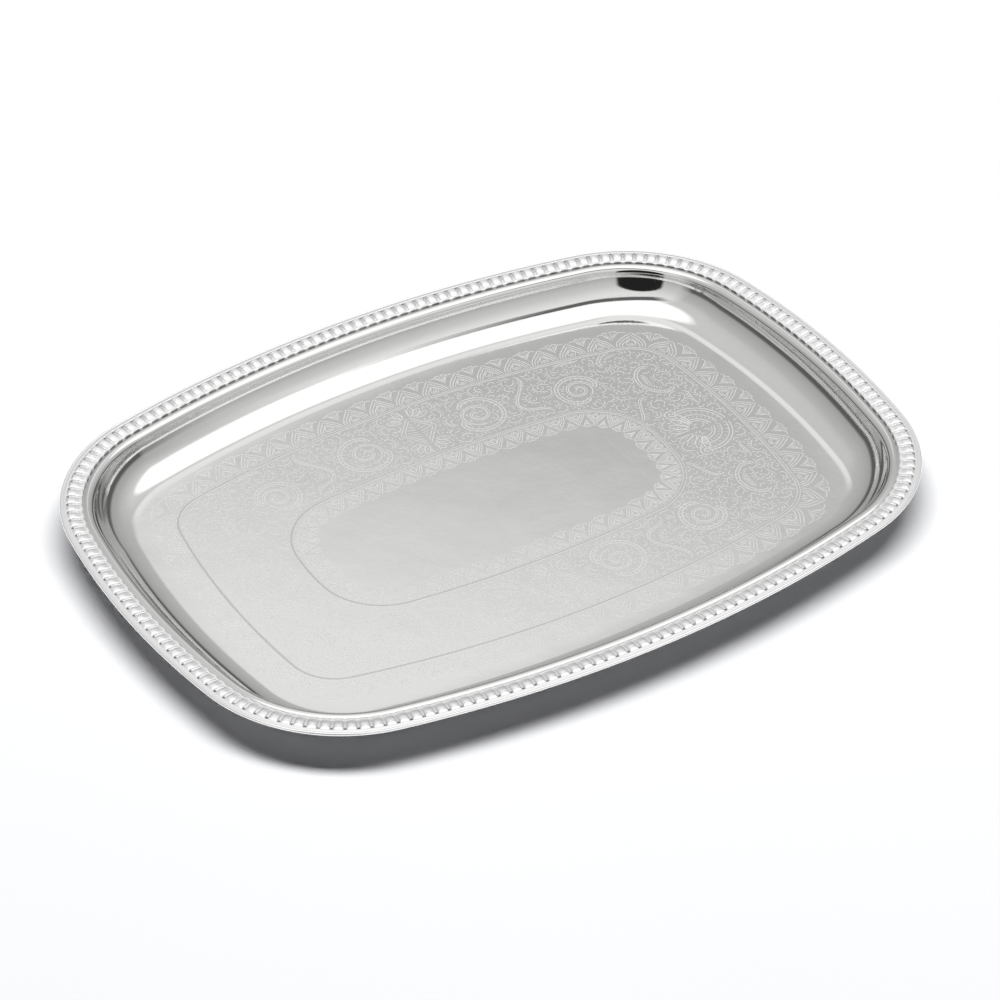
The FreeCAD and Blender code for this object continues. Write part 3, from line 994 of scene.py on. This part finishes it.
def sweep_and_card(sky):
    tree = sky.tree
    facing = map_range(tree, sky.bearing(250.0), 0.38, 0.55, 0.0, 1.0)
    sweep, card = ramp(tree, sky.height, SWEEP_STOPS), ramp(tree, sky.height, CARD_STOPS)
    return mix_colour(tree, facing, sweep, card)


def with_pale_patch(sky, tent):
    """A paler stretch of the sweep that the floor mirrors, brighter upwards and to its left."""
    tree = sky.tree
    rise = calc(tree, "ADD", sky.height, calc(tree, "MULTIPLY", sky.along(150.0), 0.17))
    paler = map_range(tree, rise, 0.594, 0.645, 0.0, 0.6)
    near = map_range(tree, sky.bearing(57.5), 0.972, 0.991, 0.0, 1.0)
    return mix_colour(tree, calc(tree, "MULTIPLY", paler, near), tent, WHITE)


def with_roof(sky, tent):
    """The white roof, which reaches lower to the east, with a glow below its edge there."""
    tree = sky.tree
    east = sky.bearing(-15.0)
    edge = map_range(tree, east, 0.45, 0.9, 0.885, 0.715)
    above_edge = calc(tree, "SUBTRACT", sky.height, edge)
    glow = map_range(tree, above_edge, -0.3, 0.0, 0.0, 0.22)
    glow = calc(tree, "MULTIPLY", glow, map_range(tree, east, 0.3, 0.8, 0.0, 1.0))
    tent = mix_colour(tree, glow, tent, WHITE)
    return mix_colour(tree, map_range(tree, above_edge, -0.025, 0.015, 0.0, 1.0), tent, ROOF_WHITE)


def with_gap(sky, tent):
    """The dark opening between the card and the roof."""
    tree = sky.tree
    above = calc(tree, "MAXIMUM", sky.height, 0.02)
    ahead = calc(tree, "DIVIDE", sky.along(250.0), above)
    beside_gap = calc(tree, "ABSOLUTE", calc(tree, "DIVIDE", sky.along(340.0), above))
    near_edge = map_range(tree, ahead, 0.34, 0.39, 0.0, 1.0)
    far_edge = map_range(tree, ahead, 0.56, 0.62, 1.0, 0.0)
    gap = calc(tree, "MULTIPLY", near_edge, far_edge)
    gap = calc(tree, "MULTIPLY", gap, map_range(tree, beside_gap, 0.45, 0.75, 1.0, 0.0))
    return mix_colour(tree, gap, tent, GAP_GREY)


def with_figure(sky, tent):
    """The dark shape of someone standing at the camera."""
    tree = sky.tree
    across = calc(tree, "DIVIDE", sky.along(318.0), calc(tree, "MULTIPLY", sky.level, 0.34))
    raised = calc(tree, "MAXIMUM", calc(tree, "SUBTRACT", sky.height, 0.36), 0.0)
    raised = calc(tree, "DIVIDE", raised, 0.31)
    reach = calc(tree, "ADD", calc(tree, "POWER", across, 2.0), calc(tree, "POWER", raised, 2.0))
    figure = map_range(tree, reach, 0.85, 1.1, 1.0, 0.0)
    this_side = map_range(tree, sky.along(228.0), 0.0, 0.1, 0.0, 1.0)
    return mix_colour(tree, calc(tree, "MULTIPLY", figure, this_side), tent, FIGURE_GREY)


def make_world():
    """The tent round the tray, dark for light that has bounced off the floor and pale to the camera."""
    world = bpy.data.worlds.new("studio")
    bpy.context.scene.world = world
    world.use_nodes = True
    tree = world.node_tree
    tree.nodes.clear()
    sky = Sky(tree)
    tent = sweep_and_card(sky)
    for step in (with_pale_patch, with_roof, with_gap, with_figure):
        tent = step(sky, tent)
    path = add(tree, "ShaderNodeLightPath")
    soft = mix_colour(tree, path.outputs["Diffuse Depth"], tent, BOUNCE_GREY)
    seen = mix_colour(tree, path.outputs["Is Camera Ray"], soft, BACKDROP)
    background = add(tree, "ShaderNodeBackground", {"Color": seen, "Strength": 1.0})
    output = add(tree, "ShaderNodeOutputWorld")
    tree.links.new(background.outputs[0], output.inputs["Surface"])


def main():
    rim = oblong_arcs(HALF_LENGTH, HALF_WIDTH, **RIM_RADII)
    silver, border_silver, lines = silver_material(), border_material(), line_material()
    make_tray_body(rim).data.materials.append(silver)
    for arc in rim:
        make_border(arc).data.materials.append(border_silver)
    outer, inner = Track(RING_OUTER), Track(RING_INNER)
    ring_edges, ring_cuts = draw_rings(outer, inner)
    ring_edges.make("engraved_ring_edges", lines)
    ring_cuts.make("engraved_ring_cuts", cut_material())
    draw_arch_border(outer, 11.2, 11.6, 1.0).make("engraved_arch_border", lines)
    draw_arch_border(inner, 9.8, 8.8, -1.0).make("engraved_inner_border", lines)
    draw_scroll_band(outer, inner).make("engraved_scroll_band", lines)
    make_camera()
    make_floor()
    make_key_light()
    make_world()
    bpy.context.scene.view_settings.view_transform = "Standard"


main()
